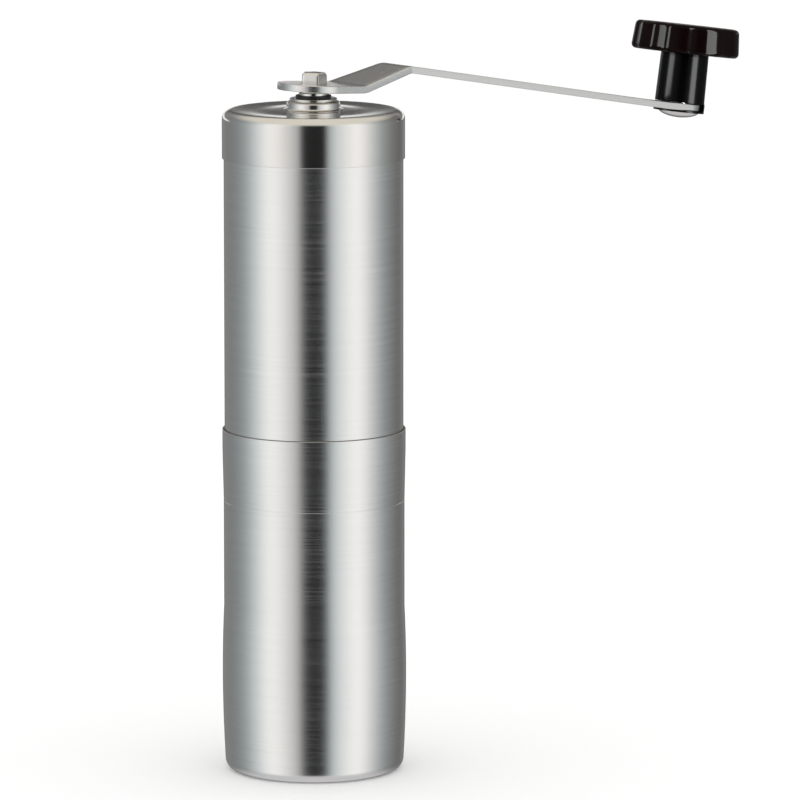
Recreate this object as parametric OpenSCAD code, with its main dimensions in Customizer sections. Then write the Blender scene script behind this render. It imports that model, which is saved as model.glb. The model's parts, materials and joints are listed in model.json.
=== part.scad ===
// Hand crank coffee grinder: a steel tube with a ceramic conical burr set, a push-on
// grounds cup below, a slip-on lid above and a lift-off crank with a turning knob.
// Origin: centre of the base. +Z runs up the spindle, +X along the crank.

/* [Grounds cup] */
// Radius of the cup at its rim band
cup_r = 24.78; // [24.7:0.01:24.9]
// Radius at the belly, near the foot
belly_r = 24.92; // [24.8:0.01:25.1]
// Height of the belly's widest line
belly_z = 27; // [22:1:32]
// Height of the cup
cup_h = 93.4; // [90:0.1:96]
// Height of the inner ledge that the tube stands on
ledge_z = 74; // [72:0.1:75]
// Thickness of the cup's floor
cup_floor = 1; // [0.8:0.1:1.6]
// Radius of the foot's rounded corner
foot_round = 2.9; // [2:0.1:3.5]

/* [Hopper tube] */
// Outer radius of the tube
tube_r = 24.18; // [24.15:0.01:24.22]
// Thickness of the tube's wall
tube_wall = 0.5; // [0.5:0.05:0.6]
// Height of the tube's upper edge
tube_top = 177.6; // [176:0.1:178]

/* [Lid] */
// Outer radius of the lid
lid_r = 24.62; // [24.58:0.01:24.7]
// Height of the lid's flat top
lid_top = 180; // [179.8:0.1:180.2]
// Height of the skirt's lower edge
skirt_z = 166.9; // [164:0.1:170]
// Radius of the rounding between top and skirt
lid_round = 2.5; // [1.5:0.1:3]
// Thickness of the lid's top
lid_t = 0.6; // [0.5:0.05:0.7]
// Height of the collar's upper face
collar_top = 183.15; // [183:0.05:183.4]

/* [Spindle] */
// Radius of the rod through the hopper
rod_r = 3; // [2.8:0.05:3]
// Radius of the journal in the lid's bush
journal_r = 3.92; // [3.9:0.01:3.95]
// Corner radius of the five-sided end
pentagon_r = 3.75; // [3.6:0.05:3.8]
// Height of the spindle's tip
tip_z = 190.05; // [189.6:0.05:190.8]
// Radius of the threaded lower end
thread_r = 2.5; // [2.4:0.05:2.55]

/* [Crank] */
// Height of the hub plate's underside, at the spindle
hub_z = 185; // [184.9:0.05:185.4]
// Radius of the hub plate
hub_r = 9.75; // [9.5:0.05:10]
// Thickness of the crank's bar
bar_t = 1.9; // [1.8:0.1:2.1]
// Width of the bar at its crest, where the taper from the hub ends
crest_w = 13.4; // [12.8:0.1:13.8]
// Radius of the bar's round end
end_r = 6.2; // [6:0.1:6.3]
// Distance from the spindle to the first bend
bend_1 = 11.5; // [11:0.1:13]
// Length of the rising stretch
ramp_l = 17.4; // [16:0.1:19]
// Rise of that stretch from the hub plate, in degrees
ramp_a = 17.9; // [14:0.1:19]
// Fall of the long stretch from the hub plate, in degrees
fall_a = 6.1; // [4:0.1:7]
// Slight upward bend just before the knob, in degrees
end_bend = 2; // [0:0.1:3]
// Length from the crest to the knob's pin
long_l = 101.7; // [90:0.1:110]
// Droop of the loose crank on its five-sided seat, in degrees
droop_a = 3.9; // [0:0.1:4]

/* [Knob] */
// Radius of the knob's head at its lower edge
knob_r = 15.3; // [14:0.1:16]
// Thickness of the head
head_t = 8; // [7:0.1:9]
// Draft of the head's side, in degrees
head_draft = 5; // [0:0.5:6]
// Number of finger flutes round the head
flutes = 9; // [7:1:12]
// Radius of the stem at its foot
stem_r = 6.95; // [6.8:0.05:7.05]
// Radius of the stem under the head
stem_top_r = 6.7; // [6.5:0.05:6.8]
// Height of the stem above the bar
stem_h = 13.9; // [12:0.1:16]
// Radius of the steel pin that the knob turns on
pin_r = 2.5; // [2:0.1:3]

/* [Burrs] */
// Outer radius of the fixed ring
ring_r = 17.8; // [17.5:0.1:18]
// Radius of the turning cone at its top
cone_top_r = 9; // [8.5:0.1:9]
// Radius of the turning cone at its foot
cone_low_r = 15; // [14.8:0.1:15]
// Level gap between cone and ring at rest
burr_gap = 0.4; // [0.35:0.05:0.5]
// Number of cutting grooves
teeth = 12; // [8:1:16]

/* [Hidden] */
$fn = 96;
eps = 0.01;
gap = 0.3;                       // room between parts that move past each other
slip = 0.07;                     // radial clearance of a sliding or running fit

// cup
socket_r = tube_r + slip;        // the rim's bore, which the tube slides into
cup_in_r = 23.95;                // bore below the ledge
waist_r = 24.48;                 // outside, between belly and rim band
flare_z = ledge_z + 14;          // the rim band reaches its full radius here
floor_round = 2.2;
steps = 8;                       // points on each rounded corner

// tube and the moulded housing pressed into it
tube_low = ledge_z + gap;
bore_r = tube_r - tube_wall;
house_top = 108;
house_low = 65;
skirt_r = 23.4;                  // the housing below the tube, inside the cup
skirt_in = 21;
throat_r = 16;
seat_top = 93.2;                 // shoulder that the fixed ring rests against
seat_low = 76;
groove_low = 69;
groove_h = 2.4;
groove_r = 22.4;
funnel_low = seat_top + 1.8;     // the funnel's cone runs from here to the housing's top
funnel_r = bore_r - 0.7;         // its radius there
hub_low = 97;
hub_high = 106;
spider_r = 5.5;
arm_w = 4;
bush_r = 4.4;

// burrs
ring_low = 80;
neck_z = 87;                     // where the ring is narrowest
cone_low = 79.6;
cone_top = 93;
core_r = 6;
spring_r = 4.5;
wire_r = 0.45;
spring_low = 87;
spring_high = 96;
turns = 5;
flat_w = 2.2;                    // half the width across the spindle's flats
core_low = 78.4;
plate_low = 77.6;
nut_low = 66.5;
nut_top = 77.2;
nut_r = 11.5;
insert_r = 4.2;
insert_top = 75.6;

// spindle
thread_low = 63.5;
flats_low = 76;
journal_low = 176;
seat_z = hub_z - 0.3;            // shoulder under the tilted hub plate
washer_z = 106.9;
washer_t = 0.6;
clip_z = washer_z + washer_t;
clip_t = 0.8;
clip_groove_r = 2.4;

// lid
lid_in_r = tube_r + 0.06;
collar_r = 7.25;
bush_in_r = journal_r + slip;
bush_out_r = 4.8;
neck_r = 6;                      // the collar's neck through the lid

// crank: the middle line of the bar, in the hub plate's own plane
bend_r = 6;
bend_steps = 6;
ramp_end = [bend_1 + ramp_l * cos(ramp_a), ramp_l * sin(ramp_a)];
end_l = 9;                       // from the slight bend to the knob's pin
end_a = fall_a - end_bend;
bend_3 = ramp_end + (long_l - end_l) * [cos(fall_a), -sin(fall_a)];
knob_at = bend_3 + end_l * [cos(end_a), -sin(end_a)];
foot_r = 7.1;
foot_t = 0.6;

function arc(c, r, a, b, n = steps) =
    [for (i = [0:n]) let (t = a + (b - a) * i / n) c + r * [cos(t), sin(t)]];

// outside radius of the cup at a height below the ledge
function cup_out(z) = max(
    z < belly_z ? 0 : waist_r,
    belly_r - (z < belly_z ? 0.0012 : 0.00137) * pow(z - belly_z, 2));

module turned(points) {
    rotate_extrude() polygon(points);
}

module ring(outer, inner, low, high) {
    translate([0, 0, low]) difference() {
        cylinder(r = outer, h = high - low);
        translate([0, 0, -1]) cylinder(r = inner, h = high - low + 2);
    }
}

// bore or shaft with two flats
module flatted(r, half, h) {
    intersection() {
        cylinder(r = r, h = h);
        translate([-r, -half, 0]) cube([2 * r, 2 * half, h]);
    }
}

module grounds_cup() {
    foot_r = cup_out(foot_round) - foot_round;
    color("silver") turned(concat(
        [[0, 0]],
        arc([foot_r, foot_round], foot_round, -90, 0),
        [for (z = [6:4:46]) [cup_out(z), z]],
        [[waist_r, ledge_z + gap], [cup_r, flare_z], [cup_r, cup_h]],
        [[socket_r, cup_h], [socket_r, ledge_z], [cup_in_r, ledge_z]],
        arc([cup_in_r - floor_round, cup_floor + floor_round], floor_round, 0, -90),
        [[0, cup_floor]]));
}

module cup_seal() {
    seal_r = cup_in_r - slip;
    color("black") ring(seal_r, groove_r, groove_low, groove_low + groove_h);
}

module hopper_tube() {
    color("silver") ring(tube_r, bore_r, tube_low, tube_top);
}

module burr_housing() {
    groove_top = groove_low + groove_h;
    pocket_in = 19.4;
    pocket_out = 22.4;
    pocket_top = 90;
    color("dimgray") turned([
        [bore_r, house_top], [bore_r, tube_low], [skirt_r, tube_low],
        [skirt_r, groove_top], [groove_r, groove_top], [groove_r, groove_low],
        [skirt_r, groove_low], [skirt_r, house_low], [skirt_in, house_low],
        [skirt_in, seat_low - 2], [pocket_out, seat_low], [pocket_out, pocket_top],
        [pocket_in, pocket_top], [pocket_in, seat_low], [ring_r, seat_low],
        [ring_r, seat_top], [throat_r, seat_top], [throat_r, funnel_low],
        [funnel_r, house_top]]);
}

// hub and three arms, which end face to face on the funnel's cone
module centre_support() {
    arm_low = hub_low + 1;
    arm_h = hub_high - hub_low - 2;
    color("dimgray") difference() {
        union() {
            translate([0, 0, hub_low]) cylinder(r = spider_r, h = hub_high - hub_low);
            intersection() {
                for (a = [30:120:270])
                    rotate(a) translate([0, -arm_w / 2, arm_low]) cube([bore_r, arm_w, arm_h]);
                turned([[0, funnel_low], [throat_r, funnel_low], [funnel_r, house_top],
                    [0, house_top]]);
            }
        }
        translate([0, 0, hub_low - 1]) cylinder(r = bush_r, h = hub_high - hub_low + 2);
    }
}

module shaft_bush() {
    flange_t = 0.6;
    color("tan") difference() {
        union() {
            translate([0, 0, hub_low]) cylinder(r = bush_r, h = hub_high - hub_low);
            translate([0, 0, hub_high]) cylinder(r = spider_r - 0.2, h = flange_t);
        }
        translate([0, 0, hub_low - 1]) cylinder(r = rod_r + slip, h = hub_high - hub_low + 3);
    }
}

// radius of the turning cone at a height
function cone_r(z) = cone_low_r + (cone_top_r - cone_low_r) * (z - cone_low) / (cone_top - cone_low);

// straight grooves that lean along a cone's surface
module grooves(low_r, top_r, low, high, width, depth) {
    lean = atan((low_r - top_r) / (high - low));
    for (i = [0:teeth - 1])
        rotate(i * 360 / teeth) translate([low_r, 0, low]) rotate([0, -lean, 0])
            rotate(20) translate([-depth, -width / 2, -2]) cube([2 * depth, width, high - low + 5]);
}

module outer_burr() {
    neck = cone_r(neck_z) + burr_gap;
    foot = cone_r(ring_low) + burr_gap;
    color("white") difference() {
        turned([[ring_r, ring_low], [ring_r, seat_top], [throat_r, seat_top], [neck, neck_z],
            [foot, ring_low]]);
        grooves(foot, neck, ring_low, neck_z, 1, 0.5);
    }
}

module burr_retainer() {
    inner = 16;
    color("dimgray") ring(ring_r, inner, seat_low + 0.6, ring_low);
}

module inner_burr() {
    color("white") difference() {
        turned([[core_r, cone_low], [cone_low_r, cone_low], [cone_top_r, cone_top],
            [core_r, cone_top]]);
        grooves(cone_low_r, cone_top_r, cone_low, cone_top, 1.4, 1);
    }
}

module burr_core() {
    core_top = 92;
    flange_r = 10.5;
    spring_room = spring_r + wire_r + gap;
    color("black") difference() {
        union() {
            translate([0, 0, core_low]) cylinder(r = core_r, h = core_top - core_low);
            translate([0, 0, core_low]) cylinder(r = flange_r, h = cone_low - core_low);
        }
        translate([0, 0, core_low - 1]) flatted(rod_r + slip, flat_w + slip, core_top);
        translate([0, 0, spring_low]) cylinder(r = spring_room, h = core_top);
    }
}

module detent_plate() {
    plate_r = 9;
    dimple_at = 7;
    dimple_r = 0.7;
    color("silver") difference() {
        translate([0, 0, plate_low]) cylinder(r = plate_r, h = core_low - plate_low);
        translate([0, 0, plate_low - 1]) flatted(rod_r + slip, flat_w + slip, 4);
        for (i = [0:teeth - 1])
            rotate(i * 360 / teeth) translate([dimple_at, 0, plate_low - 1])
                cylinder(r = dimple_r, h = 4, $fn = 24);
    }
}

module adjuster_nut() {
    lobes = 6;
    notch_r = 4;
    hub = 7;
    skirt_h = 5;
    color("dimgray") difference() {
        union() {
            translate([0, 0, nut_low]) difference() {
                cylinder(r = nut_r, h = skirt_h);
                for (i = [0:lobes - 1])
                    rotate((i + 0.5) * 360 / lobes) translate([nut_r + 1.6, 0, -1])
                        cylinder(r = notch_r, h = skirt_h + 2, $fn = 48);
            }
            translate([0, 0, nut_low]) cylinder(r = hub, h = nut_top - nut_low);
        }
        translate([0, 0, nut_low - 1]) cylinder(r = insert_r, h = nut_top - nut_low + 2);
    }
}

module adjuster_insert() {
    color("goldenrod") ring(insert_r, thread_r + slip, nut_low, insert_top);
}

module spindle() {
    tip_round = 1.1;
    color("silver") difference() {
        union() {
            translate([0, 0, thread_low]) cylinder(r = thread_r, h = flats_low - thread_low);
            translate([0, 0, flats_low]) flatted(rod_r, flat_w, spring_high - flats_low);
            translate([0, 0, spring_high]) cylinder(r = rod_r, h = journal_low - spring_high);
            translate([0, 0, journal_low]) cylinder(r = journal_r, h = seat_z - journal_low);
            intersection() {
                translate([0, 0, seat_z]) rotate(180)
                    cylinder(r = pentagon_r, h = tip_z - seat_z, $fn = 5);
                turned(concat([[0, seat_z - 1], [pentagon_r + eps, seat_z - 1]],
                    arc([pentagon_r + eps - tip_round, tip_z - tip_round], tip_round, 0, 90),
                    [[0, tip_z]]));
            }
        }
        ring(rod_r + 1, clip_groove_r, clip_z, clip_z + clip_t);
    }
}

module thrust_washer() {
    color("silver") ring(5, rod_r, washer_z, washer_z + washer_t);
}

module retaining_clip() {
    mouth = 3.6;
    color("gray") difference() {
        ring(4.9, clip_groove_r, clip_z, clip_z + clip_t);
        translate([0, -mouth / 2, clip_z - 1]) cube([8, mouth, clip_t + 2]);
    }
}

module spring_washer() {
    color("silver") ring(5.2, rod_r, spring_high, hub_low - gap);
}

module pressure_spring() {
    sides = 8;
    rings = 16 * turns;
    climb = spring_high - spring_low - 2 * wire_r;
    points = [for (i = [0:rings]) let (a = 360 * turns * i / rings)
        for (j = [0:sides - 1]) let (b = 360 * j / sides, r = spring_r + wire_r * cos(b))
            [r * cos(a), r * sin(a), spring_low + wire_r + climb * i / rings + wire_r * sin(b)]];
    walls = [for (i = [0:rings - 1]) for (j = [0:sides - 1]) let (k = (j + 1) % sides)
        [i * sides + j, (i + 1) * sides + j, (i + 1) * sides + k, i * sides + k]];
    start = [for (j = [0:sides - 1]) j];
    finish = [for (j = [sides - 1:-1:0]) rings * sides + j];
    color("gray") polyhedron(points = points, faces = concat([start, finish], walls));
}

module lid_cap() {
    flat_r = lid_r - lid_round;
    inner_round = lid_round - 0.3;
    color("silver") turned(concat(
        [[neck_r, lid_top - lid_t], [neck_r, lid_top]],
        arc([flat_r, lid_top - lid_round], lid_round, 90, 0),
        [[lid_r, skirt_z], [lid_in_r, skirt_z]],
        arc([lid_in_r - inner_round, lid_top - lid_t - inner_round], inner_round, 0, 90)));
}

module lid_collar() {
    waist = 6.35;
    corner = 1.1;
    shoulder_z = lid_top + 2.5;
    foot_z = lid_top - lid_t - 0.8;
    color("silver") turned(concat(
        [[bush_out_r, foot_z], [7.5, foot_z], [7.5, lid_top - lid_t], [neck_r, lid_top - lid_t]],
        [[neck_r, lid_top], [collar_r + 0.7, lid_top], [collar_r, lid_top + 0.5]],
        arc([collar_r - corner, shoulder_z - corner], corner, 0, 90),
        [[waist, shoulder_z], [waist, collar_top - 0.2]],
        [[waist - 0.2, collar_top], [bush_out_r, collar_top]]));
}

module lid_bush() {
    flange_z = lid_top - 2.4;
    bush_h = collar_top + 0.75 - flange_z;
    color("black") difference() {
        union() {
            translate([0, 0, flange_z]) cylinder(r = bush_out_r, h = bush_h);
            translate([0, 0, flange_z]) cylinder(r = 6, h = 1);
        }
        translate([0, 0, flange_z - 1]) cylinder(r = bush_in_r, h = bush_h + 2);
    }
}

// places a shape in the tilted plane of the hub plate
module on_crank() {
    translate([0, 0, hub_z]) rotate([0, droop_a, 0]) children();
}

// places a shape on the knob's axis, with Z = 0 on the bar's upper face
module on_knob() {
    on_crank() translate([knob_at[0], 0, knob_at[1] + bar_t / 2]) rotate([0, end_a, 0])
        translate([0, 0, bar_t / 2]) children();
}

// side view of the bar: its middle line thickened to both sides
module bar_side() {
    c1 = [bend_1 - bend_r * tan(ramp_a / 2), bend_r];
    turn = ramp_a + fall_a;
    crest = ramp_end - bend_r * tan(turn / 2) * [cos(ramp_a), sin(ramp_a)];
    c2 = crest + bend_r * [sin(ramp_a), -cos(ramp_a)];
    tip = knob_at + (end_r + 2) * [cos(end_a), -sin(end_a)];
    over = bar_t / 2 * [sin(end_a), cos(end_a)];
    mid_a = fall_a - end_bend / 2;
    kink = bar_t / 2 / cos(end_bend / 2) * [sin(mid_a), cos(mid_a)];
    upper = concat([[-hub_r - 1, bar_t / 2]],
        arc(c1, bend_r - bar_t / 2, -90, -90 + ramp_a, bend_steps),
        arc(c2, bend_r + bar_t / 2, 90 + ramp_a, 90 - fall_a, bend_steps),
        [bend_3 + kink, tip + over]);
    lower = concat([[-hub_r - 1, -bar_t / 2]],
        arc(c1, bend_r + bar_t / 2, -90, -90 + ramp_a, bend_steps),
        arc(c2, bend_r - bar_t / 2, 90 + ramp_a, 90 - fall_a, bend_steps),
        [bend_3 - kink, tip - over]);
    last = len(lower) - 1;
    polygon(concat(upper, [for (i = [last:-1:0]) lower[i]]));
}

// plan view of the bar: hub disc, sides that leave it as tangents and narrow to the crest,
// straight sides from there, and a round end that stops a little short of the pin's centre
module bar_plan() {
    corner = [ramp_end[0], crest_w / 2];
    meet = atan2(corner[1], corner[0]) + acos(hub_r / norm(corner));
    side = concat(
        arc([knob_at[0] - 0.4, 0], end_r, 0, 90, 3 * steps), [corner],
        arc([0, 0], hub_r, meet, 180, 6 * steps));
    last = len(side) - 1;
    polygon(concat(side, [for (i = [last - 1:-1:1]) [side[i][0], -side[i][1]]]));
}

module crank_arm() {
    play = 0.35;
    tall = 60;
    color("silver") difference() {
        on_crank() translate([0, 0, bar_t / 2]) difference() {
            intersection() {
                rotate([90, 0, 0]) linear_extrude(height = 4 * hub_r, center = true) bar_side();
                linear_extrude(height = tall, center = true) bar_plan();
            }
            rotate(180) cylinder(r = pentagon_r + play, h = tall, center = true, $fn = 5);
        }
        on_knob() cylinder(r = pin_r, h = 3 * bar_t, center = true);
    }
}

// black disc under the bar, with a low lip round the bar's end
module knob_foot() {
    low = -bar_t - foot_t;
    lip_r = end_r + 0.15;
    lip_x = 4.6;
    color("black") on_knob() {
        ring(foot_r, pin_r, low, -bar_t);
        intersection() {
            ring(foot_r, lip_r, low, gap / 2);
            translate([lip_x, -foot_r, low - 1]) cube([foot_r, 2 * foot_r, 3 * bar_t]);
        }
    }
}

module knob_pin() {
    dome_r = 5.6;
    dome_h = 1.6;
    dome_low = -bar_t - foot_t - dome_h;
    sphere_r = (dome_r * dome_r + dome_h * dome_h) / (2 * dome_h);
    top = stem_h + 0.9;
    color("silver") on_knob() {
        translate([0, 0, dome_low + dome_h - eps]) cylinder(r = pin_r, h = top - dome_low - dome_h);
        translate([0, 0, top - 2 * eps]) cylinder(r = 3.4, h = 0.8);
        intersection() {
            translate([0, 0, dome_low]) cylinder(r = dome_r, h = dome_h);
            translate([0, 0, dome_low + sphere_r]) sphere(r = sphere_r);
        }
    }
}

module knob_stem() {
    color("black") on_knob()
        turned([[pin_r + slip, gap], [stem_r, gap], [stem_top_r, stem_h],
            [pin_r + slip, stem_h]]);
}

module knob_head() {
    top_r = knob_r - head_t * tan(head_draft);
    edge = 1.3;
    flute_r = 9;
    flute_depth = 0.55;
    cavity_r = 3.9;
    cavity_h = 2.2;
    color("black") on_knob() translate([0, 0, stem_h]) difference() {
        intersection() {
            turned(concat([[0, 0]],
                arc([knob_r - edge, edge], edge, -90, 0),
                arc([top_r - edge, head_t - edge], edge, 0, 90),
                [[0, head_t]]));
            difference() {
                cylinder(r = knob_r + 1, h = head_t);
                for (i = [0:flutes - 1])
                    rotate(i * 360 / flutes)
                        translate([knob_r + flute_r - flute_depth, 0, -1])
                            cylinder(r = flute_r, h = head_t + 2);
            }
        }
        translate([0, 0, -1]) cylinder(r = cavity_r, h = cavity_h + 1);
    }
}

grounds_cup();
cup_seal();
hopper_tube();
burr_housing();
shaft_bush();
outer_burr();
burr_retainer();
centre_support();
inner_burr();
burr_core();
detent_plate();
adjuster_nut();
adjuster_insert();
spindle();
thrust_washer();
retaining_clip();
spring_washer();
pressure_spring();
lid_cap();
lid_collar();
lid_bush();
crank_arm();
knob_foot();
knob_pin();
knob_stem();
knob_head();
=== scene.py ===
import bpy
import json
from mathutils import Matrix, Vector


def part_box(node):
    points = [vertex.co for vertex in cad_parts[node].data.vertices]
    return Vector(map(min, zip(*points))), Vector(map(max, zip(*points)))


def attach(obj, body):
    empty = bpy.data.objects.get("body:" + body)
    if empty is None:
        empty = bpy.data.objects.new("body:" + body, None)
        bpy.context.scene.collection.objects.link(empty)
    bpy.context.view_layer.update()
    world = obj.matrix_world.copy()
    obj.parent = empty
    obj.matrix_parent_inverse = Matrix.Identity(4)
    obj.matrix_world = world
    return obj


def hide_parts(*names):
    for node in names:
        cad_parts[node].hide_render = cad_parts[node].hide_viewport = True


bl_info = {
    "name": "Hand Crank Coffee Grinder",
    "version": (1, 0, 0),
    "blender": (4, 5, 0),
    "location": "View3D > Sidebar > Grinder",
    "description": "Builds the shells, crank, knob, finishes and studio of a hand crank coffee grinder",
    "category": "Object",
}

import json
import math

import bmesh
import bpy
import numpy as np
from mathutils import Matrix, Vector

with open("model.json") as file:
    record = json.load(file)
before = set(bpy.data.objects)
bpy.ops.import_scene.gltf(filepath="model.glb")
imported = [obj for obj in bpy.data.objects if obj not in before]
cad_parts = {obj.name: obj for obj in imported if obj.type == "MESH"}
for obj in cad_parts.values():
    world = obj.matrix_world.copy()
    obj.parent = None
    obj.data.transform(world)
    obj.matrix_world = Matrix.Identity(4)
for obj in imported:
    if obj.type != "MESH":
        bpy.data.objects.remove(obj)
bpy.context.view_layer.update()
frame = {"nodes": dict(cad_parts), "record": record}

MM = 0.001
TAU = 2 * math.pi
KNOB = next(j for j in frame["record"]["behaviour"]["joints"] if j["name"] == "knob_spin")


# ---------------------------------------------------------------- settings

def length(name, about, millimetres):
    """A size in metres with its default given in millimetres."""
    return bpy.props.FloatProperty(
        name=name, description=about, default=millimetres * MM, min=0, subtype="DISTANCE",
        unit="LENGTH", precision=5)


def angle(name, about, degrees):
    """An angle with its default given in degrees."""
    return bpy.props.FloatProperty(
        name=name, description=about, default=math.radians(degrees), subtype="ANGLE", unit="ROTATION")


def colour(name, about, value):
    """A linear colour."""
    return bpy.props.FloatVectorProperty(
        name=name, description=about, default=value, size=3, min=0, max=1, subtype="COLOR")


class GrinderShellSettings(bpy.types.PropertyGroup):
    """Sizes of the cup, the tube and the lid."""
    cup_radius: length("Cup radius", "Radius of the cup's rim band", 24.78)
    waist_radius: length("Waist radius", "Cup radius between the belly and the rim band", 24.48)
    belly_height: length("Belly height", "Height of the cup's widest line", 27.0)
    ledge_height: length("Ledge height", "Height of the ledge that the tube stands on", 74.0)
    flare_height: length("Flare height", "Height where the rim band reaches its full radius", 88.0)
    foot_round: length("Foot rounding", "Radius of the foot's corner", 2.9)
    cup_floor: length("Cup floor", "Thickness of the cup's floor", 1.0)
    cup_bore: length("Cup bore", "Inner radius of the cup below its ledge", 23.95)
    tube_wall: length("Tube wall", "Thickness of the tube's wall", 0.5)
    slip: length("Slip", "Radial clearance of the push-on joints", 0.065)
    lid_round: length("Lid rounding", "Radius of the lid's outer edge", 2.5)
    lid_sheet: length("Lid sheet", "Thickness of the lid's top", 0.6)
    lid_dish: length("Lid dish", "Depth of the shallow dish in the lid's top", 0.12)
    sheet_edge: length("Sheet edge", "Rounding of the cut edges of sheet metal", 0.14)
    groove_depth: length("Groove depth", "Depth of the fine groove turned at the ledge", 0.03)
    groove_width: length("Groove width", "Width of that groove", 0.22)
    collar_radius: length("Collar radius", "Radius of the collar's body", 7.25)
    collar_height: length("Collar height", "Height of the collar's body", 2.5)
    collar_fillet: length("Collar fillet", "Fillet between the collar and the lid", 0.9)
    collar_ring: length("Collar ring", "Radius of the collar's top ring", 6.4)
    collar_bore: length("Collar bore", "Radius of the bore that holds the bush", 4.8)
    lid_neck: length("Lid neck", "Radius of the hole in the lid's top", 6.0)
    bush_bore: length("Bush bore", "Radius of the bush's bore", 3.99)


class GrinderCrankSettings(bpy.types.PropertyGroup):
    """Sizes of the crank's bar and its knob."""
    hub_height: length("Hub height", "Height of the hub plate's underside at the spindle", 185.0)
    hub_radius: length("Hub radius", "Radius of the hub plate", 9.75)
    bar_thick: length("Bar thickness", "Thickness of the bar", 1.9)
    crest_width: length("Crest width", "Width of the bar where its taper ends", 13.4)
    end_radius: length("End radius", "Radius of the bar's round end", 6.2)
    end_short: length("End centre", "How far that end's centre stops short of the pin", 0.4)
    first_bend: length("First bend", "Distance from the spindle to the first bend", 11.5)
    ramp_length: length("Ramp length", "Length of the rising stretch", 17.4)
    ramp_angle: angle("Ramp angle", "Rise of that stretch from the hub plate", 17.9)
    fall_angle: angle("Fall angle", "Fall of the long stretch from the hub plate", 6.1)
    end_bend: angle("End bend", "Slight upward bend just before the knob", 2.0)
    end_length: length("End length", "Length from that bend to the knob's pin", 9.0)
    long_length: length("Long stretch", "Length from the crest to the knob's pin", 101.7)
    droop: angle("Droop", "Droop of the loose crank on its seat", 3.9)
    bend_radius: length("Bend radius", "Radius of the bar's middle line in each bend", 6.0)
    end_curve: length("End curve", "Radius of the middle line in the slight bend", 30.0)
    bar_edge: length("Bar edge", "Rounding of the bar's edges", 0.22)
    seat_play: length("Seat play", "Play of the five-sided hole on the spindle", 0.35)
    knob_radius: length("Knob radius", "Radius of the knob's head at its lower edge", 15.3)
    head_height: length("Head height", "Thickness of the knob's head", 8.0)
    head_draft: angle("Head draft", "Draft of the head's side", 5.0)
    head_edge: length("Head edge", "Rounding of the head's rims", 1.3)
    flute_depth: length("Flute depth", "Depth of the finger flutes", 0.55)
    flute_radius: length("Flute radius", "Radius of each finger flute", 9.0)
    flutes: bpy.props.IntProperty(
        name="Flutes", description="Number of finger flutes round the head", default=9, min=3)
    stem_radius: length("Stem radius", "Radius of the knob's stem at its foot", 6.95)
    stem_top: length("Stem top", "Radius of the knob's stem under the head", 6.7)
    stem_low: length("Stem gap", "Room between the bar and the stem", 0.17)
    stem_height: length("Stem height", "Height of the stem above the bar", 13.9)
    foot_radius: length("Foot radius", "Radius of the black disc under the bar", 7.1)
    foot_thick: length("Foot thickness", "Thickness of that disc", 0.6)
    foot_lip: length("Foot lip", "Height of the disc's lip above the bar", 0.13)
    foot_reach: length("Lip start", "Distance from the pin where the lip starts", 4.6)
    pin_radius: length("Pin radius", "Radius of the pin that the knob turns on", 2.5)
    pin_head: length("Pin head", "Radius of the pin's inner head", 3.4)
    dome_radius: length("Dome radius", "Radius of the pin's domed head", 5.6)
    dome_height: length("Dome height", "Height of the pin's domed head", 1.6)


class GrinderSpindleSettings(bpy.types.PropertyGroup):
    """Sizes of the spindle."""
    rod: length("Rod radius", "Radius of the rod through the hopper", 3.0)
    journal: length("Journal radius", "Radius of the journal in the lid's bush", 3.92)
    corner: length("Pentagon radius", "Corner radius of the five-sided end", 3.75)
    crown: length("Crown", "Height of the rounding at the tip", 1.3)
    thread: length("Thread radius", "Outer radius of the threaded lower end", 2.5)
    pitch: length("Thread pitch", "Rise of the thread in one turn", 0.8)
    flat: length("Flat", "Half the width across the two flats", 2.2)
    flats_low: length("Flats start", "Height where the two flats start", 76.0)
    flats_high: length("Flats end", "Height where the two flats end", 96.0)
    clip: length("Clip groove", "Height of the retaining clip's groove", 107.5)
    clip_radius: length("Clip radius", "Radius at the bottom of that groove", 2.4)
    clip_width: length("Clip width", "Width of that groove", 0.8)
    journal_low: length("Journal start", "Height where the journal starts", 176.0)
    seat: length("Seat", "Height of the shoulder that the crank rests on", 184.7)


class GrinderFinishSettings(bpy.types.PropertyGroup):
    """Colours of the finishes."""
    steel: colour("Brushed steel", "Reflection colour of the tube and the cup", (0.78, 0.765, 0.745))
    # painted shade: this dark colour on the rim's top rounding stands for the shade of the gap where the
    # tube meets the rim, with some grime
    cut: colour("Cut edge", "Reflection colour of the cup's cut rim", (0.20, 0.195, 0.19))
    polished: colour("Polished steel", "Reflection colour of the lid and spindle", (0.74, 0.72, 0.69))
    bar: colour("Bar steel", "Reflection colour of the crank's bar", (0.70, 0.69, 0.67))
    spring: colour("Spring steel", "Reflection colour of washers, clip and spring", (0.45, 0.44, 0.43))
    stem: colour("Stem black", "Gloss black of the stem and its foot", (0.0012, 0.0012, 0.0013))
    head: colour("Head brown-black", "Gloss brown-black of the knob's head", (0.0040, 0.0014, 0.0014))
    nylon: colour("Black nylon", "Plain black of the lid's bush", (0.012, 0.012, 0.012))
    housing: colour("Housing black", "Matt black of the burr housing", (0.022, 0.022, 0.023))
    acetal: colour("Natural acetal", "Colour of the shaft's bush", (0.64, 0.60, 0.48))
    ceramic: colour("Ceramic", "Colour of both burrs", (0.80, 0.79, 0.75))
    brass: colour("Brass", "Colour of the adjuster's insert", (0.72, 0.50, 0.20))
    rubber: colour("Rubber", "Colour of the cup's seal", (0.016, 0.016, 0.016))
    floor: colour("Floor", "Colour of the studio floor", (0.86, 0.86, 0.86))


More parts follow.
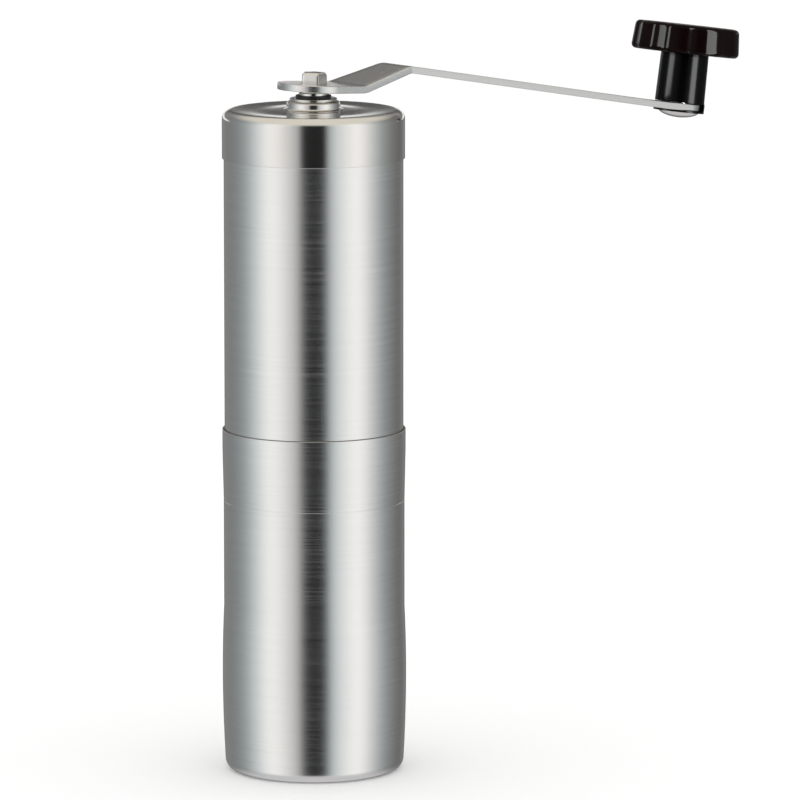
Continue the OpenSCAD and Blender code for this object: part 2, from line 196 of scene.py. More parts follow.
class GrinderStudioSettings(bpy.types.PropertyGroup):
    """Camera and light."""
    azimuth: angle("Azimuth", "Camera direction round the object; 0 looks along +Y", -38.0)
    elevation: angle("Elevation", "Camera height above the horizon", 8.8)
    distance: length("Distance", "Distance from the camera to the point it aims at", 1892.0)
    lens: bpy.props.FloatProperty(
        name="Lens", description="Focal length in millimetres", default=315.0, min=1, subtype="NONE")
    aim_right: length("Aim right", "How far right of the spindle the camera aims", 23.25)
    aim_height: length("Aim height", "Height that the camera aims at", 101.0)
    floor_radius: length("Floor radius", "Radius of the studio floor", 9000.0)
    strip_left: angle("Left strip", "Direction of the knob's left light from the camera", -64.0)
    strip_right: angle("Right strip", "Direction of the knob's right light from the camera", 53.0)
    strip_width: length("Strip width", "Width of each of the knob's lights", 280.0)
    strip_height: length("Strip height", "Height of each of the knob's lights", 1500.0)
    strip_distance: length("Strip distance", "Distance of each light from the knob", 600.0)
    strip_power: bpy.props.FloatProperty(
        name="Strip power", description="Power of the knob's right light in watts", default=42.0, min=0)
    strip_share: bpy.props.FloatProperty(
        name="Left share", description="Power of the left light over the right's", default=0.8, min=0)
    even_light: bpy.props.FloatProperty(
        name="Even light", description="Strength of the even white light", default=1.34, min=0)
    panel_light: bpy.props.FloatProperty(
        name="Panel light", description="Strength of the panels in reflections", default=2.0, min=0)


def shell():
    """Sizes of the cup, the tube and the lid."""
    return bpy.context.scene.grinder_shell


def crank():
    """Sizes of the crank's bar and its knob."""
    return bpy.context.scene.grinder_crank


def shaft():
    """Sizes of the spindle."""
    return bpy.context.scene.grinder_spindle


def finish():
    """Colours of the finishes."""
    return bpy.context.scene.grinder_finish


def studio():
    """Camera and light."""
    return bpy.context.scene.grinder_studio


# ---------------------------------------------------------------- surfaces

def rounded(points, radii, steps=6):
    """A polyline in (r, z) whose corners are arcs: each arc touches both sides of its corner at
    radius / tan(half the corner's angle) from it."""
    points = np.asarray(points, float)
    out = [points[:1]]
    for before, corner, after, radius in zip(points[:-2], points[1:-1], points[2:], radii):
        a = (before - corner) / np.linalg.norm(before - corner)
        b = (after - corner) / np.linalg.norm(after - corner)
        half = math.acos(np.clip(a @ b, -1, 1)) / 2
        if radius <= 0 or abs(half - math.pi / 2) < 0.01:
            out.append(corner[None])
            continue
        reach = radius / math.tan(half)
        centre = corner + (a + b) / np.linalg.norm(a + b) * radius / math.sin(half)
        start, stop = corner + a * reach - centre, corner + b * reach - centre
        t = np.linspace(0, 1, steps + 1)[:, None]
        turn = math.acos(np.clip(start @ stop / radius ** 2, -1, 1))
        out.append(centre + (np.sin((1 - t) * turn) * start + np.sin(t * turn) * stop) / math.sin(turn))
    out.append(points[-1:])
    return np.vstack(out)


def refined(profile, longest):
    """The same polyline with every stretch cut into equal parts no longer than `longest`."""
    lengths = np.linalg.norm(np.diff(profile, axis=0), axis=1)
    steps = np.maximum(1, np.ceil(lengths / longest)).astype(int)
    along = np.concatenate([i + np.arange(n) / n for i, n in enumerate(steps)] + [[len(steps)]])
    return np.stack([np.interp(along, np.arange(len(profile)), profile[:, k]) for k in (0, 1)], 1)


def grid_faces(rows, columns, close_rows=False):
    """Quads between neighbouring rows of a grid whose columns run round and meet."""
    r = np.arange(rows if close_rows else rows - 1)[:, None]
    c = np.arange(columns)[None, :]
    r2, c2 = (r + 1) % rows, (c + 1) % columns
    quads = np.stack([r * columns + c, r * columns + c2, r2 * columns + c2, r2 * columns + c], -1)
    return quads.reshape(-1, 4)


def placed(name, data):
    """A new object, linked to the scene."""
    made = bpy.data.objects.new(name, data)
    bpy.context.scene.collection.objects.link(made)
    return made


def mesh_piece(name, points, faces, body, node_name, material, sharp=32.0):
    """A piece from an array of points and quads, in place of one node. Points that coincide are
    merged, faces with no area are dropped and normals point outwards."""
    mesh = bpy.data.meshes.new(name)
    mesh.from_pydata(points.reshape(-1, 3), [], faces.tolist())
    work = bmesh.new()
    work.from_mesh(mesh)
    bmesh.ops.remove_doubles(work, verts=work.verts, dist=1e-7)
    bmesh.ops.dissolve_degenerate(work, edges=work.edges, dist=1e-7)
    bmesh.ops.recalc_face_normals(work, faces=work.faces)
    work.to_mesh(mesh)
    work.free()
    mesh.shade_smooth()
    mesh.set_sharp_from_angle(angle=math.radians(sharp))
    mesh.materials.append(material)
    piece = placed(name, mesh)
    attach(piece, body)
    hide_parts(node_name)


def angles(count):
    """Equal steps once round a circle."""
    return np.arange(count) * TAU / count


def round_points(r, z, a, place=None):
    """Radius r at angle a and height z gives (r cos a, r sin a, z), as a grid of points. `place` is a
    4 x 4 matrix that sets them down."""
    points = np.stack(np.broadcast_arrays(r * np.cos(a), r * np.sin(a), z), -1)
    if place is None:
        return points
    m = np.array(place)
    return points @ m[:3, :3].T + m[:3, 3]


def turned(name, profile, body, node_name, material, segments=256, place=None, closed=True):
    """Surface of revolution: a profile (r, z) carried round the Z axis. A profile that starts and
    ends on the axis is not closed."""
    points = round_points(profile[:, :1], profile[:, 1:], angles(segments), place)
    mesh_piece(name, points, grid_faces(len(profile), segments, closed), body, node_name, material)


def from_side(a):
    """Angle from the middle of the nearest side of a pentagon with a corner at half a turn."""
    return (a - math.pi + TAU) % (TAU / 5) - math.pi / 5


def least(a, b, soft):
    """The lesser of two lengths, with the change between them rounded over about `soft`: minus soft
    times the logarithm of the sum of the exponentials of both, each over minus soft."""
    return -soft * np.logaddexp(-a / soft, -b / soft)


def step_up(x, width):
    """Smooth step from 0 to 1 while x runs from 0 to a width: share squared times 3 minus 2 shares."""
    share = np.clip(x / width, 0, 1)
    return share * share * (3 - 2 * share)


def knob_place():
    """Matrix from the knob's own frame, Z up its pin from the bar's upper face, to the row frame."""
    up = Vector(KNOB["axis"]).normalized()
    side = Vector((0, 1, 0))
    place = Matrix.Identity(4)
    for k, axis in enumerate((side.cross(up), side, up)):
        place.col[k].xyz = axis
    place.translation = Vector(KNOB["pos_m"])
    return place


# ---------------------------------------------------------------- node groups

def new_group(name, inputs, outputs):
    """An empty shader node group with named sockets; inputs map a name to its default."""
    group = bpy.data.node_groups.new(name, "ShaderNodeTree")
    for label, default in inputs.items():
        kind = "NodeSocketColor" if isinstance(default, tuple) else "NodeSocketFloat"
        socket = group.interface.new_socket(label, in_out="INPUT", socket_type=kind)
        socket.default_value = default
    for label, kind in outputs.items():
        group.interface.new_socket(label, in_out="OUTPUT", socket_type="NodeSocket" + kind)
    return group, group.nodes.new("NodeGroupInput"), group.nodes.new("NodeGroupOutput")


def node(tree, kind, **settings):
    """A node of a kind; settings are its own properties."""
    made = tree.nodes.new("ShaderNode" + kind)
    for key, value in settings.items():
        setattr(made, key, value)
    return made


def wire(tree, source, target):
    tree.links.new(source, target)


def maths(tree, operation, a, b=None, c=None, clamp=False):
    """A Math node; each of a, b and c is a socket or a number."""
    made = node(tree, "Math", operation=operation, use_clamp=clamp)
    for k, value in enumerate((a, b, c)):
        if isinstance(value, bpy.types.NodeSocket):
            wire(tree, value, made.inputs[k])
        elif value is not None:
            made.inputs[k].default_value = value
    return made.outputs[0]


def noise(tree, vector, detail, roughness=0.5):
    """A Noise node of scale 1 on a vector."""
    made = node(tree, "TexNoise")
    made.inputs["Scale"].default_value = 1.0
    made.inputs["Detail"].default_value = detail
    made.inputs["Roughness"].default_value = roughness
    wire(tree, vector, made.inputs["Vector"])
    return made


def cloud(tree, place, scale, detail):
    """Slow noise on Object coordinates stretched by a scale for each axis."""
    stretch = node(tree, "Mapping")
    stretch.inputs["Scale"].default_value = scale
    wire(tree, place.outputs["Object"], stretch.inputs["Vector"])
    return noise(tree, stretch.outputs["Vector"], detail).outputs["Fac"]


def ramped(tree, value, start, stop, kind="LINEAR"):
    """0 to 1 while a value runs from start to stop."""
    made = node(tree, "MapRange", interpolation_type=kind)
    made.inputs["From Min"].default_value = start
    made.inputs["From Max"].default_value = stop
    wire(tree, value, made.inputs["Value"])
    return made.outputs["Result"]


def mixed(tree, a, b, factor):
    """A colour between a and b; each is a socket or a colour."""
    mix = node(tree, "Mix", data_type="RGBA")
    targets = [s for s in mix.inputs if s.name == "Factor" and s.type == "VALUE"][:1]
    targets += [s for s in mix.inputs if s.type == "RGBA"]
    for target, value in zip(targets, (factor, a, b)):
        if isinstance(value, bpy.types.NodeSocket):
            wire(tree, value, target)
        else:
            target.default_value = value
    return [s for s in mix.outputs if s.type == "RGBA"][0]


def end_group(group, inside, out, colour_out, rough, height, depth):
    """Last nodes of a finish: its colour, its roughness between 0 and 1, and the normal of a height
    whose full relief is `depth` deep."""
    bump = node(group, "Bump")
    bump.inputs["Distance"].default_value = depth
    wire(group, height, bump.inputs["Height"])
    wire(group, inside.outputs["Relief"], bump.inputs["Strength"])
    wire(group, colour_out, out.inputs["Colour"])
    wire(group, rough, out.inputs["Roughness"])
    wire(group, bump.outputs["Normal"], out.inputs["Normal"])
    return group


def brushing_group():
    """Brushed metal: streaks of noise stretched along the direction of brushing change the colour and
    the roughness a little and lift the normal; a slow cloud of handling marks dulls some places."""
    group, inside, out = new_group(
        "Brushing",
        {"Colour": (0.7, 0.7, 0.7, 1.0), "Roughness": 0.25, "Streak": 0.1, "Relief": 0.1, "Smudge": 0.05,
         "Across X": 1.0, "Across Y": 1.0, "Across Z": 1.0},
        {"Colour": "Color", "Roughness": "Float", "Normal": "Vector"})
    place = node(group, "TexCoord")
    split = node(group, "SeparateXYZ")
    wire(group, place.outputs["Object"], split.inputs[0])
    joined = node(group, "CombineXYZ")
    for k, label in enumerate(("Across X", "Across Y", "Across Z")):
        wire(group, maths(group, "MULTIPLY", split.outputs[k], inside.outputs[label]), joined.inputs[k])
    fine = noise(group, joined.outputs[0], 4.0, 0.65).outputs["Fac"]
    centred = maths(group, "SUBTRACT", fine, 0.5)
    slow = cloud(group, place, (38, 38, 26), 3.0)
    marks = maths(group, "MULTIPLY", maths(group, "SUBTRACT", slow, 0.5), inside.outputs["Smudge"])
    rough = maths(group, "ADD", inside.outputs["Roughness"],
                  maths(group, "MULTIPLY", centred, inside.outputs["Streak"]))
    shade = maths(group, "ADD", 1.0, maths(group, "MULTIPLY", centred, inside.outputs["Streak"]))
    tint = node(group, "VectorMath", operation="SCALE")
    wire(group, inside.outputs["Colour"], tint.inputs[0])
    wire(group, shade, tint.inputs["Scale"])
    dulled = maths(group, "ADD", rough, marks, clamp=True)
    return end_group(group, inside, out, tint.outputs[0], dulled, fine, 0.02 * MM)


def moulding_group():
    """Moulded or fired skin: fine grain in the relief, and a slow cloud that changes the gloss and,
    where it is densest, turns the colour to the worn one."""
    group, inside, out = new_group(
        "Moulding",
        {"Colour": (0.02, 0.02, 0.02, 1.0), "Worn Colour": (0.05, 0.05, 0.05, 1.0), "Roughness": 0.4,
         "Variation": 0.1, "Relief": 0.1, "Grain": 2500.0},
        {"Colour": "Color", "Roughness": "Float", "Normal": "Vector"})
    place = node(group, "TexCoord")
    grain = noise(group, place.outputs["Object"], 3.0)
    wire(group, inside.outputs["Grain"], grain.inputs["Scale"])
    slow = cloud(group, place, (70, 70, 70), 4.0)
    worn = ramped(group, slow, 0.52, 0.78)
    shade = mixed(group, inside.outputs["Colour"], inside.outputs["Worn Colour"], worn)
    change = maths(group, "MULTIPLY", maths(group, "SUBTRACT", slow, 0.5), inside.outputs["Variation"])
    gloss = maths(group, "ADD", inside.outputs["Roughness"], change, clamp=True)
    return end_group(group, inside, out, shade, gloss, grain.outputs["Fac"], 0.03 * MM)


def shared_group(name, build):
    return bpy.data.node_groups.get(name) or build()


# ---------------------------------------------------------------- materials

def surface_material(name, group, values, fixed):
    """A Principled material fed by one of the shared groups; `fixed` are constants on its sockets."""
    found = bpy.data.materials.get(name)
    if found:
        return found
    made = bpy.data.materials.new(name)
    made.use_nodes = True
    tree = made.node_tree
    shader = tree.nodes["Principled BSDF"]
    for label, value in fixed.items():
        shader.inputs[label].default_value = value
    effect = node(tree, "Group", node_tree=group)
    for label, value in values.items():
        effect.inputs[label].default_value = value
    wire(tree, effect.outputs["Colour"], shader.inputs["Base Color"])
    wire(tree, effect.outputs["Roughness"], shader.inputs["Roughness"])
    wire(tree, effect.outputs["Normal"], shader.inputs["Normal"])
    return made


def metal(name, tint, roughness, across, streak, relief, smudge=0.04, anisotropic=0.0, axis=None):
    """Brushed or polished metal. `across` is how fast the streaks change along X, Y and Z, and `axis`
    is the axis that they run round."""
    made = surface_material(
        name, shared_group("Brushing", brushing_group),
        {"Colour": (*tint, 1.0), "Roughness": roughness, "Streak": streak, "Relief": relief,
         "Smudge": smudge, "Across X": across[0], "Across Y": across[1], "Across Z": across[2]},
        {"Metallic": 1.0, "Anisotropic": anisotropic})
    tree = made.node_tree
    if axis and not tree.nodes.get("Tangent"):
        tangent = node(tree, "Tangent", direction_type="RADIAL", axis=axis)
        wire(tree, tangent.outputs[0], tree.nodes["Principled BSDF"].inputs["Tangent"])
    return made


def moulded(name, tint, worn, roughness, variation, relief, grain=2500.0, specular=0.5):
    """Moulded plastic, rubber or ceramic."""
    return surface_material(
        name, shared_group("Moulding", moulding_group),
        {"Colour": (*tint, 1.0), "Worn Colour": (*worn, 1.0), "Roughness": roughness,
         "Variation": variation, "Relief": relief, "Grain": grain},
        {"Specular IOR Level": specular})


def brushed_steel(name="Turned brushed steel"):
    return metal(name, finish().steel, 0.17, (32, 32, 7000), streak=0.26, relief=0.55, smudge=0.05,
                 anisotropic=0.75, axis="Z")


def cup_steel():
    """The tube's finish, with painted shade on the rim: a mask of the height in the rim's rounding mixes
    in a dark colour, the shade of the gap where the tube meets the rim with some grime, and adds to the
    roughness."""
    name = "Turned cup steel"
    found = bpy.data.materials.get(name)
    if found:
        return found
    made = brushed_steel(name)
    tree = made.node_tree
    shader = tree.nodes["Principled BSDF"]
    place = node(tree, "TexCoord")
    split = node(tree, "SeparateXYZ")
    wire(tree, place.outputs["Object"], split.inputs[0])
    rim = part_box("grounds_cup")[1].z
    # painted shade: this mask darkens the rim's top rounding for the shade of the gap where the tube
    # meets it, with some grime
    cut = ramped(tree, split.outputs[2], rim - 0.10 * MM, rim - 0.02 * MM)
    tint, rough = shader.inputs["Base Color"], shader.inputs["Roughness"]
    bright, smooth = tint.links[0].from_socket, rough.links[0].from_socket
    wire(tree, mixed(tree, bright, (*finish().cut, 1), cut), tint)
    wire(tree, maths(tree, "MULTIPLY_ADD", cut, 0.35, smooth), rough)
    return made


def polished_steel():
    return metal("Polished steel", finish().polished, 0.10, (900, 900, 900), streak=0.05, relief=0.03,
                 smudge=0.08)


def bar_steel():
    return metal("Satin bar steel", finish().bar, 0.24, (60, 5200, 5200), streak=0.22, relief=0.3,
                 smudge=0.08)


def spring_steel():
    return metal("Spring steel", finish().spring, 0.34, (700, 700, 2400), streak=0.2, relief=0.2)


def turned_brass():
    return metal("Turned brass", finish().brass, 0.28, (300, 300, 9000), streak=0.2, relief=0.3)


def stem_gloss():
    return moulded("Gloss black", finish().stem, (0.0025, 0.0025, 0.0027), 0.18, 0.05, 0.02, 900.0,
                   specular=0.06)


def head_gloss():
    return moulded("Gloss brown-black", finish().head, (0.0065, 0.0030, 0.0030), 0.08, 0.04, 0.02, 900.0,
                   specular=0.05)


def black_nylon():
    return moulded("Black nylon", finish().nylon, (0.03, 0.03, 0.03), 0.42, 0.1, 0.2)


def housing_plastic():
    return moulded("Matt black plastic", finish().housing, (0.045, 0.042, 0.038), 0.5, 0.16, 0.5, 3200.0)


def acetal():
    return moulded("Natural acetal", finish().acetal, (0.55, 0.5, 0.38), 0.35, 0.1, 0.1)


def ceramic():
    return moulded("Burr ceramic", finish().ceramic, (0.62, 0.57, 0.48), 0.46, 0.16, 0.5, 2200.0)


def seal_rubber():
    return moulded("Seal rubber", finish().rubber, (0.035, 0.035, 0.035), 0.6, 0.12, 0.3, 3000.0)


# ---------------------------------------------------------------- pieces

class GRINDER_OT_cup(bpy.types.Operator):
    """Grounds cup: a closed profile turned about the spindle. Its outside is a parabola round the belly,
    a straight waist, a fine groove at the ledge and a slight flare into the rim band, and every cut
    edge is rounded"""
    bl_idname = "grinder.cup"
    bl_label = "Grounds Cup"

    def execute(self, context):
        s = shell()
        low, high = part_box("grounds_cup")
        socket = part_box("hopper_tube")[1].x + s.slip
        curve_below, curve_above, belly_reach = 1.2, 1.37, 20 * MM

        def outside(z):
            fall = np.where(z < s.belly_height, curve_below, curve_above) * (z - s.belly_height) ** 2
            return np.maximum(np.where(z < s.belly_height, 0, s.waist_radius), high.x - fall)

        z = np.linspace(s.foot_round, s.belly_height + belly_reach, 40)
        foot = float(outside(np.array([s.foot_round]))[0]) - s.foot_round
        a = np.linspace(-math.pi / 2, 0, 14)
        corner = np.stack([foot + s.foot_round * np.cos(a), s.foot_round + s.foot_round * np.sin(a)], 1)
        recess, ring, slope, soft = 0.35 * MM, 2.3 * MM, 0.7 * MM, 0.3 * MM
        base = rounded([[0, recess], [foot - ring - slope, recess], [foot - ring, low.z], corner[0]],
                       [soft, soft])[:-1]
        ledge, groove = s.ledge_height, s.groove_width / 2
        flare_arc, floor_arc = 60 * MM, 2.2 * MM
        rim = rounded(
            [[s.waist_radius, ledge - 4 * MM], [s.waist_radius, ledge - groove],
             [s.waist_radius - s.groove_depth, ledge], [s.waist_radius, ledge + groove],
             [s.cup_radius, s.flare_height], [s.cup_radius, high.z], [socket, high.z],
             [socket, ledge], [s.cup_bore, ledge], [s.cup_bore, s.cup_floor], [0, s.cup_floor]],
            [0.03 * MM, 0.03 * MM, 0.03 * MM, flare_arc, s.sheet_edge, s.sheet_edge, 0.05 * MM,
             0.1 * MM, floor_arc])
        profile = np.vstack([base, corner, np.stack([outside(z), z], 1)[1:], rim])
        turned("cup_shell", refined(profile, 3 * MM), "cup", "grounds_cup",
               cup_steel(), closed=False)
        return {"FINISHED"}


class GRINDER_OT_tube(bpy.types.Operator):
    """Hopper tube: a plain ring profile with rounded cut edges, turned about the spindle"""
    bl_idname = "grinder.tube"
    bl_label = "Hopper Tube"

    def execute(self, context):
        s = shell()
        low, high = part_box("hopper_tube")
        bore = high.x - s.tube_wall
        seam = [high.x, 120 * MM]
        corners = [seam, [high.x, high.z], [bore, high.z], [bore, low.z], [high.x, low.z], seam]
        profile = rounded(corners, [s.sheet_edge] * 4)[:-1]
        turned("hopper_shell", refined(profile, 6 * MM), "grinder_body", "hopper_tube",
               brushed_steel())
        return {"FINISHED"}


class GRINDER_OT_lid(bpy.types.Operator):
    """Lid: a turned cap whose top is a shallow cosine dish between its rounded edge and the collar, a
    turned collar with a groove under its top ring, and the bush inside it"""
    bl_idname = "grinder.lid"
    bl_label = "Lid"

    def execute(self, context):
        s = shell()
        low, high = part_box("lid_cap")
        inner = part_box("hopper_tube")[1].x + s.slip
        edge, crest = high.x - s.lid_round, high.z - s.lid_round
        collar_foot = s.collar_radius + s.collar_fillet + 0.15 * MM
        neck, under = s.lid_neck, high.z - s.lid_sheet
        r = np.linspace(collar_foot, edge, 24)
        dish = high.z - s.lid_dish * (0.5 - 0.5 * np.cos(TAU * (r - collar_foot) / (edge - collar_foot)))
        top = np.stack([r, dish], 1)
        a = np.linspace(math.pi / 2, 0, 16)
        rim = np.stack([edge + s.lid_round * np.cos(a), crest + s.lid_round * np.sin(a)], 1)
        skirt = rounded(
            [[high.x, high.z - 4 * MM], [high.x, low.z], [inner, low.z], [inner, under], [neck, under]],
            [s.sheet_edge, s.sheet_edge, s.lid_round - s.lid_sheet])
        profile = np.vstack([[[neck, under]], [[neck, high.z]], top, rim[1:], skirt[:-1]])
        turned("lid_shell", refined(profile, 3 * MM), "lid", "lid_cap",
               polished_steel())
        self.collar(high.z, under)
        self.bush()
        return {"FINISHED"}

    def collar(self, top, under):
        """Body with a fillet at its foot and a rounded shoulder, a groove and the top ring."""
        s = shell()
        low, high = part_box("lid_collar")
        body, ring, bore = s.collar_radius, s.collar_ring, s.collar_bore
        foot, shoulder = top + 0.06 * MM, top + s.collar_height
        groove = 0.2 * MM
        wide, deep = body + s.collar_fillet + 0.1 * MM, ring - groove
        profile = rounded(
            [[s.lid_neck, top], [wide, top], [wide, foot], [body, foot], [body, shoulder],
             [deep, shoulder], [deep, shoulder + groove], [ring, shoulder + groove], [ring, high.z],
             [bore, high.z], [bore, low.z], [high.x, low.z], [high.x, under], [s.lid_neck, under]],
            [0, 0, s.collar_fillet, 1.0 * MM, 0.05 * MM, 0.05 * MM, 0.05 * MM, 0.2 * MM, 0.15 * MM,
             0.1 * MM, 0.1 * MM, 0])
        turned("lid_collar_ring", profile, "lid", "lid_collar", polished_steel(), 192)

    def bush(self):
        """Plain bush with a flange under the lid."""
        s = shell()
        low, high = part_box("lid_bush")
        outer, bore, flange = s.collar_bore, s.bush_bore, low.z + 1 * MM
        middle = (low.z + high.z) / 2
        profile = rounded(
            [[bore, middle], [bore, low.z], [high.x, low.z], [high.x, flange], [outer, flange],
             [outer, high.z], [bore, high.z], [bore, middle]],
            [0.15 * MM, 0.15 * MM, 0.15 * MM, 0.05 * MM, 0.15 * MM, 0.2 * MM])[:-1]
        turned("lid_bush_ring", profile, "lid", "lid_bush", black_nylon(), 128)


class GRINDER_OT_spindle(bpy.types.Operator):
    """Spindle: rows of radii round the axis. A row is a circle, a circle cut by two flats, or a
    pentagon whose radius is the distance of a side over the cosine of the angle from that side, with
    its corners cut round"""
    bl_idname = "grinder.spindle"
    bl_label = "Spindle"

    def execute(self, context):
        s = shaft()
        low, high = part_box("spindle")
        a = angles(180)
        corner_cut, thread_depth, crown_in, bevel = 0.985, 0.22 * MM, 0.28, 0.2 * MM
        side = s.corner * math.cos(math.pi / 5) / np.cos(from_side(a))
        pentagon = least(side, s.corner * corner_cut, 0.1 * MM)
        flats = np.minimum(s.rod, s.flat / np.maximum(np.abs(np.sin(a)), 1e-6))
        tz = np.arange(low.z + 0.4 * MM, s.flats_low, s.pitch / 4)
        ridge = s.thread - thread_depth * (0.5 - 0.5 * np.cos(tz / s.pitch * TAU))
        rows = [(low.z, 0), (low.z, s.thread - 0.5 * MM), *zip(tz, ridge)]
        rows += [(s.flats_low, flats), (s.flats_high, flats), (s.flats_high, s.rod)]
        rows += [(s.clip, s.rod), (s.clip, s.clip_radius), (s.clip + s.clip_width, s.clip_radius),
                 (s.clip + s.clip_width, s.rod), (s.journal_low - bevel, s.rod),
                 (s.journal_low, s.journal), (s.seat - bevel, s.journal), (s.seat, s.journal - bevel)]
        rows += [(s.seat, pentagon)]
        rows += [(high.z - s.crown * (1 - math.sin(t)), pentagon * (1 - crown_in * (1 - math.cos(t))))
                 for t in np.linspace(0, math.pi / 2, 10)]
        rows += [(high.z, pentagon * 0.4), (high.z, 0)]
        z = np.array([row[0] for row in rows])[:, None]
        r = np.stack([0 * a + row[1] for row in rows])
        mesh_piece("spindle_shaft", round_points(r, z, a), grid_faces(len(rows), len(a)), "spindle",
                   "spindle", polished_steel(), 28.0)
        return {"FINISHED"}


class GRINDER_OT_bar(bpy.types.Operator):
    """Crank's bar: its outline in plan is carried inwards to the five-sided hole and the middle line,
    every plan point is lifted onto the bent middle line, and the rim is an arc at each edge"""
    bl_idname = "grinder.bar"
    bl_label = "Crank Bar"

    def execute(self, context):
        c = crank()
        outline, normal, spine, on_hole = self.plan()
        half, edge = c.bar_thick / 2, c.bar_edge
        a = np.linspace(0, math.pi / 2, 5)
        inset = np.concatenate([edge * (1 - np.sin(a)), edge * (1 - np.cos(a))])
        level = np.concatenate([half - edge * (1 - np.cos(a)), -half + edge * (1 - np.sin(a))])
        inner = outline - normal * edge - spine
        rows = [spine + share * inner for share in (0, 0.35, 0.7)]
        rows += [outline - normal * d for d in inset]
        rows += [spine + share * inner for share in (0.7, 0.35, 0)]
        levels = np.concatenate([[half] * 3, level, [-half] * 3])[:, None]
        points = self.lifted(np.stack(rows), levels)
        count = len(outline)
        k = np.arange(count)
        k = k[on_hole & np.roll(on_hole, -1)]
        after, last = (k + 1) % count, (len(rows) - 1) * count
        wall = np.stack([last + k, last + after, after, k], 1)
        mesh_piece("crank_bar", points, np.vstack([grid_faces(len(rows), count), wall]), "crank",
                   "crank_arm", bar_steel(), 28.0)
        return {"FINISHED"}

    def plan(self):
        """The outline, anticlockwise from the tip: round end, straight side to the crest, a taper that
        meets the hub's circle as a tangent, and the hub. With it go its outward normals and, for each
        point, the point of the five-sided hole or of the middle line that faces it. The outline point
        where the two meet is repeated, so that the faces fan out from it to the hole's nearest side."""
        c = crank()
        crest = np.array([c.first_bend + c.ramp_length * math.cos(c.ramp_angle), c.crest_width / 2])
        centre = self.reach() - c.end_short
        meet = math.atan2(crest[1], crest[0]) + math.acos(c.hub_radius / np.linalg.norm(crest))
        touch = c.hub_radius * np.array([math.cos(meet), math.sin(meet)])
        split = c.hub_radius

        def arc(radius, start, stop, count):
            t = np.linspace(start, stop, count, endpoint=False)
            return np.stack([radius * np.cos(t), radius * np.sin(t)], 1)

        tip = arc(c.end_radius, 0, math.pi / 2, 20) + [centre, 0]
        bend = self.reach() - c.end_length
        near, far = 2 * MM, 4 * MM
        stops = [centre, bend + near, bend - near, crest[0] + far, crest[0] - far, split, touch[0]]
        x = np.concatenate([np.linspace(i, j, n, endpoint=False) for i, j, n in zip(
            stops[:-1], stops[1:], (4, 12, 24, 28, 30, 10))])
        y = np.interp(x, [touch[0], crest[0], centre], [touch[1], crest[1], c.end_radius])
        hub = arc(c.hub_radius, meet, math.pi, 60)
        upper = np.vstack([tip, np.stack([x, y], 1), hub])
        flat = (shaft().corner + c.seat_play) * math.cos(math.pi / 5)
        turn = np.arctan2(upper[:, 1], upper[:, 0])
        rim = flat / np.cos(from_side(turn))
        past = upper[:, 0] > split + 1e-7
        fan = flat * np.array([[split / flat, 0], [1, 0]] + [
            [1, t * math.tan(math.pi / 5)] for t in (0.33, 0.67, 1)])
        spine = np.vstack([np.stack([np.minimum(upper[past, 0], centre), 0 * turn[past]], 1), fan,
                           np.stack([rim * np.cos(turn), rim * np.sin(turn)], 1)[~past][1:],
                           [[-(shaft().corner + c.seat_play), 0]]])
        times = np.where(np.arange(len(upper)) == past.sum(), len(fan), 1)
        on_hole = np.arange(len(spine)) > past.sum()
        whole = np.vstack([upper, [[-c.hub_radius, 0]], upper[1:][::-1] * [1, -1]])
        times = np.concatenate([times, [1], times[1:][::-1]])
        along = np.roll(whole, -1, 0) - np.roll(whole, 1, 0)
        normal = np.stack([along[:, 1], -along[:, 0]], 1)
        normal /= np.linalg.norm(normal, axis=1, keepdims=True)
        spine = np.vstack([spine, spine[1:-1][::-1] * [1, -1]])
        on_hole = np.concatenate([on_hole, on_hole[1:-1][::-1]])
        return np.repeat(whole, times, 0), np.repeat(normal, times, 0), spine, on_hole

    def reach(self):
        """Distance of the pin from the spindle, along the hub plate's plane."""
        c = crank()
        return (c.first_bend + c.ramp_length * math.cos(c.ramp_angle)
                + (c.long_length - c.end_length) * math.cos(c.fall_angle)
                + c.end_length * math.cos(c.fall_angle - c.end_bend))

    def middle_line(self):
        """Stations along the bent middle line, as rows of x, z and heading: straight stretches joined
        by arcs that touch both of their sides."""
        c = crank()
        joints = [np.zeros(2)]
        headings = [0.0, c.ramp_angle, -c.fall_angle, c.end_bend - c.fall_angle]
        before_hub, past_bend = -20 * MM, 30 * MM
        lengths = [c.first_bend, c.ramp_length, c.long_length - c.end_length, past_bend]
        for way, far in zip(headings, lengths):
            joints.append(joints[-1] + far * np.array([math.cos(way), math.sin(way)]))
        rows = [[before_hub, 0.0, 0.0]]
        for corner, before, after, radius in zip(
                joints[1:4], headings[:3], headings[1:], (c.bend_radius, c.bend_radius, c.end_curve)):
            cut = radius * math.tan(abs(after - before) / 2)
            start = corner - cut * np.array([math.cos(before), math.sin(before)])
            side = math.copysign(radius, after - before)
            t = np.linspace(before, after, 12)
            rows += np.stack([start[0] + side * (np.sin(t) - math.sin(before)),
                              start[1] - side * (np.cos(t) - math.cos(before)), t], 1).tolist()
        rows.append([*joints[4], headings[3]])
        return np.array(rows).T

    def lifted(self, plan, level):
        """Plan point (x, y) at a level in the thickness: the middle line at x plus the level along its
        normal, then the whole bar drooped about the spindle."""
        c = crank()
        sx, sz, sh = self.middle_line()
        x = plan[..., 0]
        heading = np.interp(x, sx, sh)
        height = np.interp(x, sx, sz)
        px = x - level * np.sin(heading)
        pz = height + level * np.cos(heading) + c.bar_thick / 2
        d = c.droop
        return np.stack([px * math.cos(d) + pz * math.sin(d), plan[..., 1],
                         -px * math.sin(d) + pz * math.cos(d) + c.hub_height], -1)


